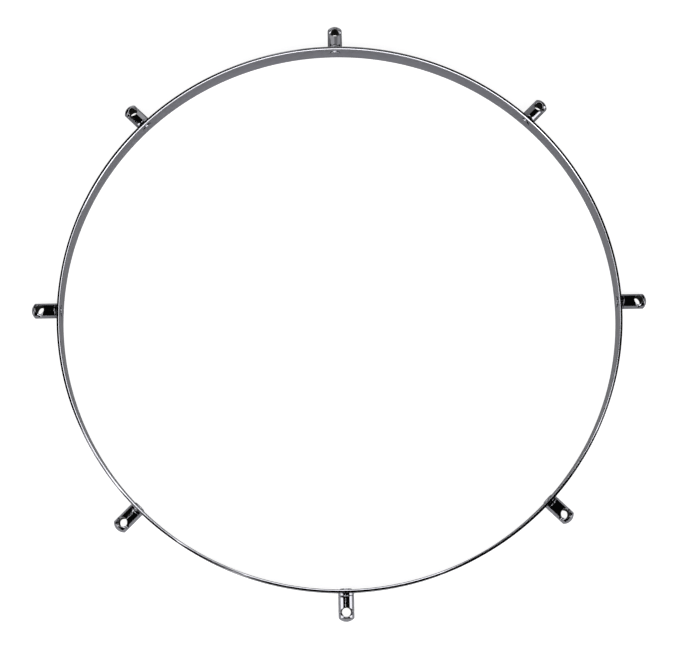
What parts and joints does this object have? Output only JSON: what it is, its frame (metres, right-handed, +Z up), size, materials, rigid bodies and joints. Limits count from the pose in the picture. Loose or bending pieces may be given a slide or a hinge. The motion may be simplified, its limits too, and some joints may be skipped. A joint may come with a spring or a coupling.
{
  "type": "drum counterhoop",
  "caption": "Flat steel band rolled into a circle, with round-bar ears around its outside drilled for tension rods; holds a kettle drum's head.",
  "frame": {"origin": "centre of the circle that the band's lower edge stands on", "axes": "+Z up along the hoop's axis, towards the side that the tension rods enter from; +X along the axis of lug_1, lug_3 on +Y"},
  "size_m": [0.7782, 0.7782, 0.0254],
  "materials": {
    "chrome_band": "bright polished chrome plate on steel",
    "chrome_ear": "bright polished chrome plate on turned steel bar",
    "chrome_rivet": "chrome plate over a headed rivet, a little less sharp than the band"
  },
  "bodies": {
    "root": {"hoop_band": "chrome_band", "lug_1": "chrome_ear", "lug_2": "chrome_ear", "lug_3": "chrome_ear", "lug_4": "chrome_ear", "lug_5": "chrome_ear", "lug_6": "chrome_ear", "lug_7": "chrome_ear", "lug_8": "chrome_ear", "spacer_1": "chrome_ear", "spacer_2": "chrome_ear", "spacer_3": "chrome_ear", "spacer_4": "chrome_ear", "spacer_5": "chrome_ear", "spacer_6": "chrome_ear", "spacer_7": "chrome_ear", "spacer_8": "chrome_ear", "rivet_1": "chrome_rivet", "rivet_2": "chrome_rivet", "rivet_3": "chrome_rivet", "rivet_4": "chrome_rivet", "rivet_5": "chrome_rivet", "rivet_6": "chrome_rivet", "rivet_7": "chrome_rivet", "rivet_8": "chrome_rivet"}
  },
  "joints": []
}
